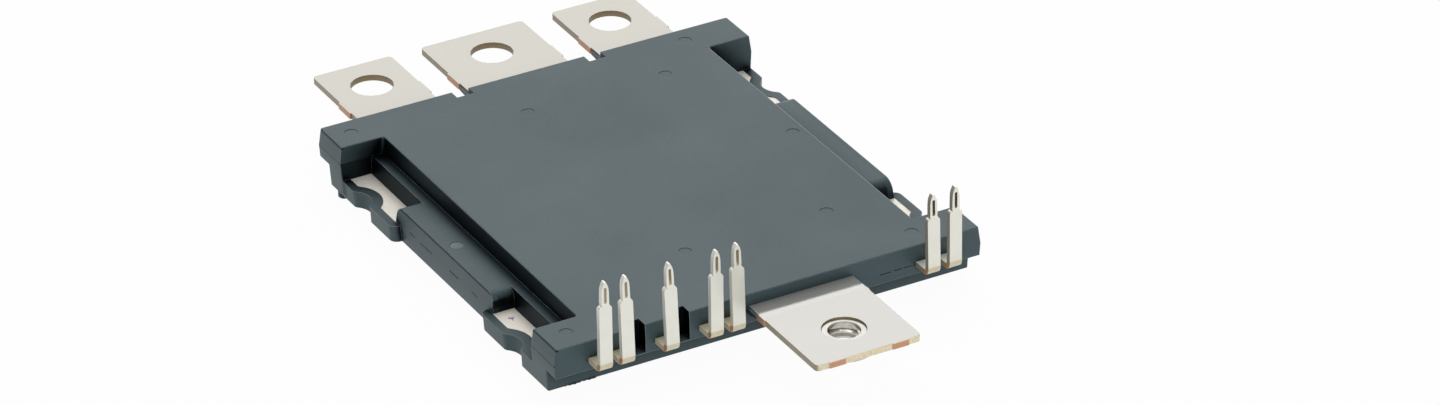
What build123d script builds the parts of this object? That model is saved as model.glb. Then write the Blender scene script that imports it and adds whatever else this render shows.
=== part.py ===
from build123d import *
import os
from math import atan2, degrees, hypot, radians, sqrt, tan

# Silicon carbide half-bridge power module, transfer moulded.
# Millimetres, +Z up. The origin is the middle of the cooling face, on its plane.
# +Y points to the three direct current terminals, -Y to the phase terminal and the signal pins.

# Moulded body, sizes at the parting line unless said otherwise
body_height = 8.0            # cooling face to top face
parting_height = 5.35        # parting line, and the top of the side rails
overhang_height = 3.45       # underside of the two end overhangs
body_length = 73.2           # along Y, over both ends
head_width = 68.5            # along X, over the wide ends
head_length = 6.95           # along Y, from the end face to the side recess
recess_depth = 7.25          # along X, from the side of a wide end to the narrow middle's top face
side_draft = 0.35            # how far a side leans in between parting line and top
end_draft = 0.13             # the same on the two end faces
foot_draft = 0.40            # how far a side leans in between parting line and cooling face
recess_draft = 0.20          # lean of the recess end walls over their whole height
corner_radius = 0.25         # upright corners of the wide ends
recess_corner_radius = 0.5   # upright inner corners of the side recesses
top_edge_break = 0.1         # worn top edges
skirt_setback = 2.9          # the lower body stands back under each overhang
ledge_width = 1.7            # ledge at parting height along the narrow middle
rail_proud = 3.35            # how far a side rail stands out from the ledge
rail_flare = 0.25            # the rail gets this much wider down to the lip
rail_half_length = 14.75     # at the top, before the rounding
rail_end_lean = 0.3          # the rail gets this much longer at each end, down to the plate
rail_end_radius = 1.8
lip_rise = 0.1               # the lip stands this much above the plate in the windows
rim_wall = 1.1               # mould compound beside the plate, at the cooling face
notch_wall = 1.6             # the same round the screw notches
lip_start = 13.6             # half length of the waist at the rail
lip_corner_radius = 1.2
notch_radius = 3.0           # half-round screw notches in the lip
notch_depth = 1.4
notch_station = 23.3         # along Y, from the middle
notch_blend_radius = 0.8
peg_radius = 0.9             # locating pegs under the two rear corners
peg_height = 1.5
peg_inset_x = 1.15           # peg centre, from the foot of the side
peg_inset_y = 1.9            # peg centre, from the skirt
peg_chamfer = 0.2
peg_root = 0.5               # how far a peg reaches up into the body

# Creepage slots in the overhangs
slot_depth = 2.0
rear_slot_width = 2.8
front_slot_width = 2.0
front_slot_floor = 0.1       # floor above the underside, at the end face
front_slot_rise = 0.63       # the floor climbs this much along its sloping sill
front_sill_run = 1.0         # depth of the sill
front_slot_steps = (-6, -4)  # on the grid of the signal pins

# Cooling plate
plate_thickness = 2.5
plate_half_length = 30.6
plate_corner_radius = 1.5
plate_step_radius = 0.5      # where it draws in beside the rails

# Flat power terminals, cut from one copper strip
terminal_thickness = 1.0
terminal_depth = 1.9         # terminal top, below the top face
dc_pitch = 20.0
dc_side_width = 13.0
dc_middle_width = 17.1
dc_reach = 54.2              # rear end of the terminals, from the middle of the body
dc_hole_margin = 6.75        # hole centre, from the end of the terminal
dc_hole_radius = 3.2
ac_offset = 4.9              # phase terminal, off the middle line
ac_width = 16.8
ac_reach = 55.35
ac_hole_margin = 6.9
terminal_corner_radius = 0.7
stub_proud = 0.22            # what is left of the tie bars after trimming
dc_stub_near, dc_stub_far = 41.3, 45.1
ac_stub_near, ac_stub_far = 38.95, 41.1
ac_tie_width = 2.6
ac_tie_offset = 5.05         # front tie bars, either side of the terminal's middle line
ac_tie_proud = 0.12          # of its side stubs too
lead_bend_radius = 0.8

# Self-clinching nut in the phase terminal
nut_shank_radius = 3.2
nut_sink = 0.28              # shank end, below the terminal's top
nut_head_radius = 4.35
nut_head_height = 2.03
nut_bore_radius = 2.1        # core of an M5 thread
nut_chamfer = 0.45

# Press-fit signal pins
pin_pitch = 3.5
pin_steps = (-8, -7, -5, -3, -2, 7, 8)
pin_drops = (0.0, 0.0, 0.0, 0.15, 0.0, 1.2, 0.95)   # how much lower a pin ends than the first one
pin_leans = (0.0, -1.4, -2.0, 0.0, -1.2, -1.1, -0.3)   # degrees, about the front-to-back line
pin_thickness = 0.8
pin_width = 2.0
pin_reach = 3.45             # front face of the upright, beyond the end face
pin_tip_height = 18.85
pin_tab_depth = 2.65         # tab top, below the top face
pin_bend_radius = 0.8
pin_inner_station = 30.5
eye_length = 3.8
eye_root = 0.2               # the eye starts this much inside the blade
eye_half_width = 0.58
eye_neck_half_width = 0.5
eye_shoulder_half_width = 0.4
eye_tip_half_width = 0.14
eye_widest_at = 1.25         # above the shoulder
eye_point_length = 0.6
eye_slot_width = 0.42
eye_slot_length = 2.55
eye_slot_start = 0.45        # above the shoulder
eye_root_slope = (0.3, 1)    # direction of the eye's side where it leaves the blade
eye_neck_slope = (-0.35, 1)  # the same where its point starts
pin_shoulder_radius = 0.45

# Substrates, dies and links sealed in the compound
substrate_gap = 2.0          # between the two substrates, along Y
substrate_length = 25.0
substrate_width = 46.4
copper_margin = 0.6          # bare ceramic round the copper
solder_thickness = 0.15
copper_thickness = 0.3
ceramic_thickness = 0.32
dies_per_switch = 6
die_size = 5.0
die_pitch = 7.0
die_thickness = 0.18
high_die_station = 8.5
low_die_station = -11.0
track_width = 0.9
track_gap = 0.6
track_half_length = 19.6
finger_width = 3.5
finger_edge = 2.3            # outer edge of a source finger, from the middle of its die
clip_thickness = 0.4
clip_rise = 0.45
clip_foot_length = 2.4
ribbon_width = 0.3
ribbon_thickness = 0.15
ribbon_foot = 0.5
ribbon_rise = 0.6
ribbon_edge = 0.2            # bare die beyond a ribbon's foot
gate_offset = 2.1            # gate ribbon, from the middle of its die, towards the middle line
sense_offset = 1.55
lead_foot_length = 4.2
signal_pad_length = 2.6
signal_pad_width = 2.2
signal_pad_steps = (-6.1, -5.25, -4.4, -3, -2, 5.1, 6.1)   # in pin pitches
pin_ribbon_rise = 0.35
pin_ribbon_start = 0.8       # ribbon's start, from the inner end of its pin
lead_foot_inset_plus = 2.0   # lead foot, from the edge of the high-side copper
lead_foot_inset_phase = 1.0  # the same on the low-side copper
lead_bend_run = 1.0          # level run of a lead between the substrate's edge and its bend
lead_landing = 0.5           # where a lead reaches the copper, from the copper's edge
minus_taper = 2.0            # half length of the narrowing of an outer terminal, along Y
pad_clearance = 1.0          # bare ceramic beside the phase lead
clip_landing = 0.6           # where a clip reaches the low-side copper, from the copper's edge
clip_slope = 1.0             # run of the clip's slope down to it
clip_bridge = 0.6            # width of the clip's bridge between slope and fingers
thermistor_length = 3.4
thermistor_width = 1.2
thermistor_height = 0.8
thermistor_inset = 0.3       # from the inner edge of the pads
low_track_clearance = 1.5    # sense track's near edge, from the edge of the low-side dies
pin_ribbon_landing = 0.8     # ribbon's end, from the outer edge of its pad

# Places worked out from the sizes above
half_length = body_length / 2
half_head = head_width / 2
half_core = half_head - recess_depth
half_skirt = half_length - skirt_setback
half_foot = half_head - foot_draft
recess_top_y = half_length - head_length
lip_height = plate_thickness + lip_rise
foot_slope = foot_draft / parting_height
half_lip = half_foot + foot_slope * lip_height
half_ledge = half_core + side_draft + ledge_width
half_rail_top = half_ledge + rail_proud
half_rail_foot = half_rail_top + rail_flare
half_plate = half_foot - rim_wall
half_plate_waist = half_rail_foot - foot_slope * lip_height - rim_wall   # beside the rails
plate_waist_y = lip_start + rim_wall
notch_x = half_lip - notch_depth + notch_radius
terminal_top = body_height - terminal_depth
terminal_bottom = terminal_top - terminal_thickness
terminal_mid = terminal_top - terminal_thickness / 2
pin_tab_top = body_height - pin_tab_depth
pin_tab_mid = pin_tab_top - pin_thickness / 2
pin_face_y = -(half_length + pin_reach)
solder_top = plate_thickness + solder_thickness
back_copper_top = solder_top + copper_thickness
ceramic_top = back_copper_top + ceramic_thickness
copper_top = ceramic_top + copper_thickness
die_top = copper_top + die_thickness
substrate_inner_y = substrate_gap / 2
substrate_outer_y = substrate_inner_y + substrate_length
copper_inner_y = substrate_inner_y + copper_margin
copper_outer_y = substrate_outer_y - copper_margin
half_copper = substrate_width / 2 - copper_margin
half_die = die_size / 2
gate_track_y = copper_inner_y + track_width / 2
sense_track_y = gate_track_y + track_width + track_gap
low_sense_track_y = low_die_station - half_die - low_track_clearance - track_width / 2
low_gate_track_y = low_sense_track_y - track_width - track_gap
dc_slot_x = (dc_middle_width / 2 + dc_pitch - dc_side_width / 2) / 2
dc_hole_y = dc_reach - dc_hole_margin
ac_hole_y = ac_hole_margin - ac_reach
signal_pad_stations = [step * pin_pitch for step in signal_pad_steps]
cut_over = 1.0               # how far a cutter reaches past what it cuts
same_place = 0.01            # points nearer than this count as one
lip_edge_slack = 0.5         # the lip's draft moves an upright edge by less than this
notch_edge_slack = 0.4
upright_share = 0.8          # an edge this much of the lip's height is an upright one


def block(x0, x1, y0, y1, z0, z1):
    """A box given by its corners."""
    return Pos((x0 + x1) / 2, (y0 + y1) / 2, (z0 + z1) / 2) * Box(x1 - x0, y1 - y0, z1 - z0)


def layer(face, z0, z1):
    """A plan outline raised between two heights."""
    return Pos(0, 0, z0) * extrude(face, z1 - z0)


def four_corners(x, y):
    """The four places that mirror one another about both middle lines."""
    return [(sx * x, sy * y) for sx in (-1, 1) for sy in (-1, 1)]


def die_stations():
    """Where the dies of one switch stand along X."""
    return [(i - (dies_per_switch - 1) / 2) * die_pitch for i in range(dies_per_switch)]


def strip(points, radius, thickness, x0, x1):
    """A flat strip bent along points in the YZ plane, from x0 to x1; radius 0 leaves its bends sharp."""
    path = FilletPolyline(*points, radius=radius) if radius else Polyline(*points)
    face = make_face(trace(path, thickness).face().outer_wire())
    return Plane.YZ.offset(x0) * extrude(face, x1 - x0)


# Moulded body

def head_outline(half_width, outer_y, inner_y, half_middle):
    """H-shaped plan of the body: two wide ends and the narrow middle."""
    ends = Rectangle(2 * half_width, 2 * outer_y)
    waist = Rectangle(half_width, 2 * inner_y)
    shift = half_middle + half_width / 2
    shape = ends - Pos(shift, 0) * waist - Pos(-shift, 0) * waist
    outer = [v for v in shape.vertices() if abs(abs(v.Y) - outer_y) < same_place]
    shape = fillet(outer, corner_radius)
    concave = [v for v in shape.vertices()
               if abs(abs(v.X) - half_middle) < same_place and abs(abs(v.Y) - inner_y) < same_place]
    return fillet(concave, recess_corner_radius)


def recess_y(z):
    """Where the end wall of a side recess stands at height z."""
    return recess_top_y - recess_draft * (body_height - z) / (body_height - lip_height)


def upper_body():
    """The body above the parting line, drafted towards the top, with its top edges broken."""
    share = (body_height - top_edge_break - parting_height) / (body_height - parting_height)
    shoulder_z = body_height - top_edge_break
    bottom = head_outline(half_head, half_length, recess_y(parting_height), half_core + side_draft)
    shoulder = head_outline(half_head - side_draft * share, half_length - end_draft * share,
                            recess_y(shoulder_z), half_core + side_draft * (1 - share))
    top = head_outline(half_head - side_draft - top_edge_break, half_length - end_draft - top_edge_break,
                       recess_top_y + top_edge_break, half_core - top_edge_break)
    levels = [Pos(0, 0, parting_height) * bottom, Pos(0, 0, shoulder_z) * shoulder,
              Pos(0, 0, body_height) * top]
    return loft(levels, ruled=True)


def side_rail():
    """The right-hand rail, with rounded-over ends; it starts inside the lip."""
    inner = half_ledge - ledge_width
    foot = half_rail_foot - foot_slope * lip_rise
    section = make_face(Polyline((inner, plate_thickness), (foot, plate_thickness),
                                 (half_rail_foot, lip_height), (half_rail_top, parting_height),
                                 (inner, parting_height), close=True))
    half_foot_length = rail_half_length + rail_end_lean
    bar = Plane.XZ.offset(-half_foot_length) * extrude(section, 2 * half_foot_length)
    side_view = make_face(Polyline((-half_foot_length, plate_thickness), (half_foot_length, plate_thickness),
                                   (rail_half_length, parting_height), (-rail_half_length, parting_height),
                                   close=True))
    upper = [v for v in side_view.vertices() if v.Y > lip_height]
    side_view = fillet(upper, rail_end_radius)
    ends = Plane.YZ.offset(inner - cut_over) * extrude(side_view, half_rail_foot - inner + 2 * cut_over)
    return bar & ends


def window_space(z):
    """The open space beside the narrow middle, right-hand side, from height z to the parting line."""
    flare = rail_flare * (parting_height - z) / (parting_height - lip_height)
    bottom = Rectangle(half_head, 2 * recess_y(z))
    top = Rectangle(half_head, 2 * recess_y(parting_height))
    low = Pos(half_ledge + flare + half_head / 2, 0, z) * bottom
    high = Pos(half_ledge + half_head / 2, 0, parting_height) * top
    return loft([low, high], ruled=True) - side_rail()


def window_cutters():
    """What opens the right-hand windows: down to the lip, and inside the lip down to the plate."""
    inside = layer(plate_outline(), plate_thickness, lip_height + lip_rise)
    inside_lip = window_space(plate_thickness) & inside
    return [window_space(lip_height), inside_lip]


def waist_cutter():
    """The space beside the rail where the lip draws in, right-hand side."""
    foot = half_rail_foot - foot_slope * lip_height
    outside = half_head + cut_over
    section = make_face(Polyline((foot, 0), (foot, -cut_over), (outside, -cut_over), (outside, lip_height),
                                 (half_rail_foot, lip_height), close=True))
    return Plane.XZ.offset(-lip_start) * extrude(section, 2 * lip_start)


def on_both_sides(cutters):
    """Right-hand cutters and their mirror images."""
    return cutters + [mirror(cutter, Plane.YZ) for cutter in cutters]


def upright_edges(solid, x, y, slack):
    """Upright edges of the lower body beside the four mirrored places (x, y)."""
    found = []
    for edge in solid.edges():
        middle = edge.center()
        stands = edge.bounding_box().size.Z > upright_share * lip_height
        if stands and abs(abs(middle.X) - x) < slack and abs(abs(middle.Y) - y) < slack:
            found.append(edge)
    return found


def lower_body():
    """The body below the parting line: overhangs, windows, rails, wavy lip and notches."""
    bottom = RectangleRounded(2 * half_foot, 2 * half_length, corner_radius)
    top = RectangleRounded(2 * half_head, 2 * half_length, corner_radius)
    solid = loft([bottom, Pos(0, 0, parting_height) * top], ruled=True)
    for side in (-1, 1):
        y0, y1 = sorted((side * half_skirt, side * (half_length + cut_over)))
        solid -= block(-half_head, half_head, y0, y1, -cut_over, overhang_height)
    solid = fillet(upright_edges(solid, half_foot, half_skirt, lip_edge_slack), corner_radius)
    solid = solid - on_both_sides(window_cutters())
    solid = solid - on_both_sides([waist_cutter()])
    solid = fillet(upright_edges(solid, half_foot, lip_start, lip_edge_slack), lip_corner_radius)
    notch = Cylinder(notch_radius, 2 * (lip_height + cut_over))
    notches = [Pos(x, y, 0) * notch for x, y in four_corners(notch_x, notch_station)]
    solid = solid - notches
    reach = sqrt(notch_radius ** 2 - (notch_radius - notch_depth) ** 2)
    for end in (notch_station - reach, notch_station + reach):
        solid = fillet(upright_edges(solid, half_foot, end, notch_edge_slack), notch_blend_radius)
    return solid


def pegs():
    """The two locating pegs under the rear corners."""
    x = half_foot - peg_inset_x
    y = half_skirt - peg_inset_y
    pieces = []
    for side in (-1, 1):
        pin = Cylinder(peg_radius, peg_height + peg_root, align=(Align.CENTER, Align.CENTER, Align.MAX))
        pin = chamfer(pin.faces().sort_by(Axis.Z)[0].edges(), peg_chamfer)
        pieces.append(Pos(side * x, y, peg_root) * pin)
    return pieces


def creepage_slots():
    """Cutters for the slots that lengthen the path between terminals and between pins."""
    cutters = []
    back = half_length - slot_depth
    for side in (-1, 1):
        x = side * dc_slot_x
        cutters.append(block(x - rear_slot_width / 2, x + rear_slot_width / 2,
                             back, half_length + cut_over,
                             overhang_height - cut_over, body_height + cut_over))
    floor = overhang_height + front_slot_floor
    outside = -half_length - cut_over
    over = body_height + cut_over
    profile = make_face(Polyline((outside, floor - front_slot_rise * cut_over / front_sill_run),
                                 (-half_length + front_sill_run, floor + front_slot_rise),
                                 (-back, floor + front_slot_rise), (-back, over), (outside, over), close=True))
    for step in front_slot_steps:
        x = step * pin_pitch - front_slot_width / 2
        cutters.append(Plane.YZ.offset(x) * extrude(profile, front_slot_width))
    return cutters


def mold_body(sealed):
    """The moulded body, hollow exactly where the sealed pieces lie."""
    solid = upper_body() + lower_body() + pegs()
    solid = solid - creepage_slots()
    return solid - sealed


# Cooling plate and terminals

def plate_outline():
    """Plan of the cooling plate, drawn in beside the rails and round the four notches."""
    shape = Rectangle(2 * half_plate, 2 * plate_half_length)
    for side in (-1, 1):
        shift = side * (half_plate_waist + half_plate / 2)
        shape -= Pos(shift, 0) * Rectangle(half_plate, 2 * plate_waist_y)
    for x, y in four_corners(notch_x, notch_station):
        shape -= Pos(x, y) * Circle(notch_radius + notch_wall)
    inner_y, outer_y = plate_waist_y + same_place, plate_half_length - same_place
    bends = [v for v in shape.vertices() if inner_y < abs(v.Y) < outer_y]
    shape = fillet(bends, notch_blend_radius)
    steps = [v for v in shape.vertices() if abs(v.Y) < inner_y and abs(v.X) > half_plate - same_place]
    shape = fillet(steps, plate_step_radius)
    corners = [v for v in shape.vertices() if abs(v.Y) > outer_y]
    return fillet(corners, plate_corner_radius)


def cooling_plate():
    """Nickel-plated copper plate: its bottom is the cooling face, its top shows in the windows."""
    return layer(plate_outline(), 0, plate_thickness)


def terminal_stubs(x0, x1, y0, y1, proud):
    """The trimmed tie-bar ends on both long edges of a terminal."""
    return block(x0 - proud, x1 + proud, y0, y1, terminal_bottom, terminal_top)


def round_far_corners(solid, y):
    """Soften the two upright corners at the free end of a terminal."""
    corners = [e for e in solid.edges().filter_by(Axis.Z) if abs(e.center().Y - y) < same_place]
    return fillet(corners, terminal_corner_radius)


def bolt_hole(x, y, radius):
    """Cutter for the round hole of a terminal."""
    return Pos(x, y, terminal_mid) * Cylinder(radius, terminal_thickness + 2 * cut_over)


def foot_mid():
    """Height of a lead's foot on the copper, at mid thickness."""
    return copper_top + terminal_thickness / 2


def dc_plus():
    """Middle terminal: bends down inside and lands on the high-side copper."""
    x0, x1 = -dc_middle_width / 2, dc_middle_width / 2
    foot_end = copper_outer_y - lead_foot_inset_plus - lead_foot_length
    drop = terminal_mid - foot_mid()
    points = [(dc_reach, terminal_mid), (copper_outer_y + drop + lead_bend_run, terminal_mid),
              (copper_outer_y - lead_landing, foot_mid()), (foot_end, foot_mid())]
    solid = round_far_corners(strip(points, lead_bend_radius, terminal_thickness, x0, x1), dc_reach)
    solid += terminal_stubs(x0, x1, dc_stub_near, dc_stub_far, stub_proud)
    return solid - bolt_hole(0, dc_hole_y, dc_hole_radius)


def dc_minus(side):
    """Outer terminal: passes over the high side and lands on the sources of the low-side dies."""
    x0, x1 = dc_pitch - dc_side_width / 2, dc_pitch + dc_side_width / 2
    stations = [x for x in die_stations() if x > 0]
    inner_x = min(stations) - half_die
    outer_x = max(stations) + half_die
    end_y = low_die_station - half_die
    turn_y = high_die_station - half_die
    wide_y, narrow_y = turn_y + minus_taper, turn_y - minus_taper
    plan = make_face(Polyline((x0, dc_reach), (x0, wide_y), (inner_x, narrow_y), (inner_x, end_y),
                              (outer_x, end_y), (outer_x, narrow_y), (x1, wide_y), (x1, dc_reach),
                              close=True))
    solid = round_far_corners(layer(plan, terminal_bottom, terminal_top), dc_reach)
    solid += terminal_stubs(x0, x1, dc_stub_near, dc_stub_far, stub_proud)
    for x in stations:
        edge = x + finger_edge
        solid += block(edge - finger_width, edge, low_die_station - finger_width / 2,
                       low_die_station + finger_width / 2, die_top, terminal_bottom)
    solid -= bolt_hole(dc_pitch, dc_hole_y, dc_hole_radius)
    return solid if side > 0 else mirror(solid, Plane.YZ)


def ac_terminal():
    """Phase terminal: bends down inside and lands on the copper that the low-side dies stand on."""
    x0, x1 = ac_offset - ac_width / 2, ac_offset + ac_width / 2
    drop = terminal_mid - foot_mid()
    foot_end = -copper_outer_y + lead_foot_inset_phase + lead_foot_length
    points = [(-ac_reach, terminal_mid), (-copper_outer_y - drop - lead_bend_run, terminal_mid),
              (-copper_outer_y + lead_landing, foot_mid()), (foot_end, foot_mid())]
    solid = round_far_corners(strip(points, lead_bend_radius, terminal_thickness, x0, x1), -ac_reach)
    solid += terminal_stubs(x0, x1, -ac_stub_far, -ac_stub_near, ac_tie_proud)
    for side in (-1, 1):
        x = ac_offset + side * ac_tie_offset
        solid += block(x - ac_tie_width / 2, x + ac_tie_width / 2, -ac_reach - ac_tie_proud,
                       -ac_reach + terminal_thickness, terminal_bottom, terminal_top)
    return solid - bolt_hole(ac_offset, ac_hole_y, nut_shank_radius)


def clinch_nut():
    """Self-clinching nut: its shank fills the terminal's hole and its head is below."""
    shank_top = terminal_top - nut_sink
    head_bottom = terminal_bottom - nut_head_height
    profile = make_face(Polyline((nut_bore_radius, head_bottom + nut_chamfer),
                                 (nut_bore_radius + nut_chamfer, head_bottom),
                                 (nut_head_radius, head_bottom), (nut_head_radius, terminal_bottom),
                                 (nut_shank_radius, terminal_bottom),
                                 (nut_shank_radius, shank_top), (nut_bore_radius + nut_chamfer, shank_top),
                                 (nut_bore_radius, shank_top - nut_chamfer), close=True))
    return Pos(ac_offset, ac_hole_y, 0) * revolve(Plane.XZ * profile, Axis.Z)


# Signal pins

def eye_outline(base):
    """Front view of the press-fit eye above height base, with its slot."""
    wide = base + eye_root + eye_widest_at
    narrow = base + eye_root + eye_length - eye_point_length
    tip = base + eye_root + eye_length
    right = Spline((eye_neck_half_width, base), (eye_half_width, wide), (eye_shoulder_half_width, narrow),
                   tangents=(eye_root_slope, eye_neck_slope))
    tip_right = Line((eye_shoulder_half_width, narrow), (eye_tip_half_width, tip))
    tip_top = Line((eye_tip_half_width, tip), (-eye_tip_half_width, tip))
    left = mirror(right, Plane.YZ)
    tip_left = mirror(tip_right, Plane.YZ)
    bottom = Line((-eye_neck_half_width, base), (eye_neck_half_width, base))
    face = make_face([right, tip_right, tip_top, tip_left, left, bottom])
    middle = base + eye_root + eye_slot_start + eye_slot_length / 2
    return face - Pos(0, middle) * Rot(0, 0, 90) * SlotOverall(eye_slot_length, eye_slot_width)


def signal_pin(step, drop, lean):
    """One press-fit pin: tab out of the body, bend, upright blade and eye."""
    back = pin_face_y + pin_thickness
    mid_y = pin_face_y + pin_thickness / 2
    bend_top = pin_tab_mid + pin_thickness / 2 + pin_bend_radius
    shoulder = pin_tip_height - eye_length - drop
    shift = (shoulder - bend_top) * tan(radians(lean))
    half = pin_width / 2
    points = [(-pin_inner_station, pin_tab_mid), (mid_y, pin_tab_mid), (mid_y, bend_top)]
    foot = strip(points, pin_bend_radius, pin_thickness, -half, half)
    blade = make_face(Polyline((-half, bend_top), (half, bend_top), (half + shift, shoulder),
                               (shift - half, shoulder), close=True))
    corners = [v for v in blade.vertices() if v.Y > shoulder - same_place]
    blade = fillet(corners, pin_shoulder_radius)
    blade += Pos(shift, shoulder) * Rot(0, 0, -lean) * eye_outline(-eye_root)
    upright = Plane.XZ.offset(-back) * extrude(blade, pin_thickness)
    return Pos(step * pin_pitch, 0, 0) * (foot + upright)


# Substrates and what stands on them

def substrate_stack(side):
    """Solder, back copper and ceramic of one substrate; side is +1 high side, -1 low side."""
    y0, y1 = sorted((side * substrate_inner_y, side * substrate_outer_y))
    c0, c1 = sorted((side * copper_inner_y, side * copper_outer_y))
    half = substrate_width / 2
    return {
        "solder": block(-half_copper, half_copper, c0, c1, plate_thickness, solder_top),
        "back_copper": block(-half_copper, half_copper, c0, c1, solder_top, back_copper_top),
        "ceramic": block(-half, half, y0, y1, back_copper_top, ceramic_top),
    }


def track(y):
    """A narrow copper track along X."""
    return block(-track_half_length, track_half_length, y - track_width / 2, y + track_width / 2,
                 ceramic_top, copper_top)


def high_drain_copper():
    """Copper under the high-side dies, joined to the middle terminal."""
    front = sense_track_y + track_width / 2 + track_gap
    return block(-half_copper, half_copper, front, copper_outer_y, ceramic_top, copper_top)


def low_drain_copper():
    """Copper under the low-side dies, joined to the phase terminal, clear of tracks and pads."""
    solid = block(-half_copper, half_copper, -copper_outer_y, -copper_inner_y, ceramic_top, copper_top)
    reach = track_half_length + track_gap
    low, high = ceramic_top - cut_over, copper_top + cut_over
    solid -= block(-reach, reach, low_gate_track_y - track_width / 2 - track_gap,
                   low_sense_track_y + track_width / 2 + track_gap, low, high)
    clear_y = -copper_outer_y + signal_pad_length + track_gap
    left = ac_offset - ac_width / 2 - pad_clearance
    right = ac_offset + ac_width / 2 + pad_clearance
    solid -= block(-half_copper - cut_over, left, -copper_outer_y - cut_over, clear_y, low, high)
    solid -= block(right, half_copper + cut_over, -copper_outer_y - cut_over, clear_y, low, high)
    return solid


def signal_pads():
    """Landing pads of the signal ribbons along the front edge of the low-side substrate."""
    y0, y1 = -copper_outer_y, -copper_outer_y + signal_pad_length
    half = signal_pad_width / 2
    return [block(x - half, x + half, y0, y1, ceramic_top, copper_top) for x in signal_pad_stations]


def die(x, y):
    """One silicon carbide die."""
    return block(x - half_die, x + half_die, y - half_die, y + half_die, copper_top, die_top)


def source_clip(side):
    """Comb-shaped copper clip from the sources of three high-side dies to the low-side copper."""
    stations = [x for x in die_stations() if x > 0]
    x0 = min(stations) + finger_edge - finger_width
    x1 = max(stations) + finger_edge
    low = die_top + clip_thickness / 2
    high = low + clip_rise
    foot = copper_top + clip_thickness / 2
    finger_end = high_die_station + finger_width / 2
    land = -copper_inner_y - clip_landing
    points = [(finger_end, low), (high_die_station - finger_width / 2, low),
              (high_die_station - half_die - clip_landing, high), (land + clip_slope, high), (land, foot),
              (land - clip_foot_length, foot)]
    solid = strip(points, 0, clip_thickness, x0, x1)
    for left, right in zip(stations, stations[1:]):
        solid -= block(left + finger_edge, right + finger_edge - finger_width,
                       land + clip_slope + clip_bridge, finger_end + cut_over,
                       copper_top, high + cut_over)
    return solid if side > 0 else mirror(solid, Plane.YZ)


def ribbon(start, end, rise):
    """One bonded aluminium ribbon between two points of given surface heights."""
    dx, dy = end[0] - start[0], end[1] - start[1]
    run = hypot(dx, dy)
    half = ribbon_thickness / 2
    z0, z1 = start[2] + half, end[2] + half
    crest = max(z0, z1) + rise
    points = [(0, z0), (ribbon_foot, z0), (run / 2, crest), (run - ribbon_foot, z1), (run, z1)]
    face = make_face(trace(Polyline(*points), ribbon_thickness).face().outer_wire())
    heading = degrees(atan2(dy, dx))
    bar = Pos(0, ribbon_width / 2, 0) * Rot(90, 0, 0) * extrude(face, ribbon_width)
    return Pos(start[0], start[1], 0) * Rot(0, 0, heading) * bar


def die_ribbons(offset, start_y, end_y):
    """Ribbons from every die of a switch to a track, mirrored about the middle line."""
    pieces = []
    for x in die_stations():
        inward = -1 if x > 0 else 1
        at = x + inward * offset
        pieces.append(ribbon((at, start_y, die_top), (at, end_y, copper_top), ribbon_rise))
    return pieces


def pin_ribbons():
    """Ribbons from the inner ends of the signal pins to their pads."""
    pieces = []
    pad_y = -copper_outer_y + pin_ribbon_landing
    start_y = -pin_inner_station - pin_ribbon_start
    for step, pad_x in zip(pin_steps, signal_pad_stations):
        start = (step * pin_pitch, start_y, pin_tab_top)
        pieces.append(ribbon(start, (pad_x, pad_y, copper_top), pin_ribbon_rise))
    return pieces


def thermistor():
    """Temperature sensor chip across the two right-hand pads."""
    x = (signal_pad_stations[-1] + signal_pad_stations[-2]) / 2
    y = -copper_outer_y + signal_pad_length - thermistor_width / 2 - thermistor_inset
    return block(x - thermistor_length / 2, x + thermistor_length / 2,
                 y - thermistor_width / 2, y + thermistor_width / 2,
                 copper_top, copper_top + thermistor_height)


def all_pieces():
    """Every node of the module by name."""
    nodes = {
        "cooling_plate": cooling_plate(),
        "dc_plus_terminal": dc_plus(),
        "dc_minus_terminal_left": dc_minus(-1),
        "dc_minus_terminal_right": dc_minus(1),
        "ac_terminal": ac_terminal(),
    }
    for i, (step, drop, lean) in enumerate(zip(pin_steps, pin_drops, pin_leans), start=1):
        nodes["signal_pin_%d" % i] = signal_pin(step, drop, lean)
    for name, side in (("high_side", 1), ("low_side", -1)):
        for part, solid in substrate_stack(side).items():
            nodes["%s_%s" % (name, part)] = solid
    nodes["high_side_drain_copper"] = high_drain_copper()
    nodes["high_side_gate_track"] = track(gate_track_y)
    nodes["high_side_sense_track"] = track(sense_track_y)
    nodes["low_side_drain_copper"] = low_drain_copper()
    nodes["low_side_gate_track"] = track(low_gate_track_y)
    nodes["low_side_sense_track"] = track(low_sense_track_y)
    nodes["signal_pads"] = Compound(children=signal_pads())
    for i, x in enumerate(die_stations(), start=1):
        nodes["high_side_die_%d" % i] = die(x, high_die_station)
        nodes["low_side_die_%d" % i] = die(x, low_die_station)
    nodes["source_clip_left"] = source_clip(-1)
    nodes["source_clip_right"] = source_clip(1)
    high_start = high_die_station - half_die + ribbon_foot + ribbon_edge
    low_start = low_die_station - half_die + ribbon_foot + ribbon_edge
    half_foot_run = ribbon_foot / 2
    nodes["high_side_gate_ribbons"] = Compound(
        children=die_ribbons(gate_offset, high_start, gate_track_y - half_foot_run))
    nodes["high_side_sense_ribbons"] = Compound(
        children=die_ribbons(sense_offset, high_start, sense_track_y - half_foot_run))
    nodes["low_side_gate_ribbons"] = Compound(
        children=die_ribbons(gate_offset, low_start, low_gate_track_y - half_foot_run))
    nodes["low_side_sense_ribbons"] = Compound(
        children=die_ribbons(sense_offset, low_start, low_sense_track_y - half_foot_run))
    nodes["pin_ribbons"] = Compound(children=pin_ribbons())
    nodes["thermistor"] = thermistor()
    nodes["mold_body"] = mold_body(list(nodes.values()))
    nodes["clinch_nut"] = clinch_nut()
    return nodes


os.makedirs("parts", exist_ok=True)
for node_name, shape in all_pieces().items():
    export_step(shape, "parts/%s.step" % node_name)
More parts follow.
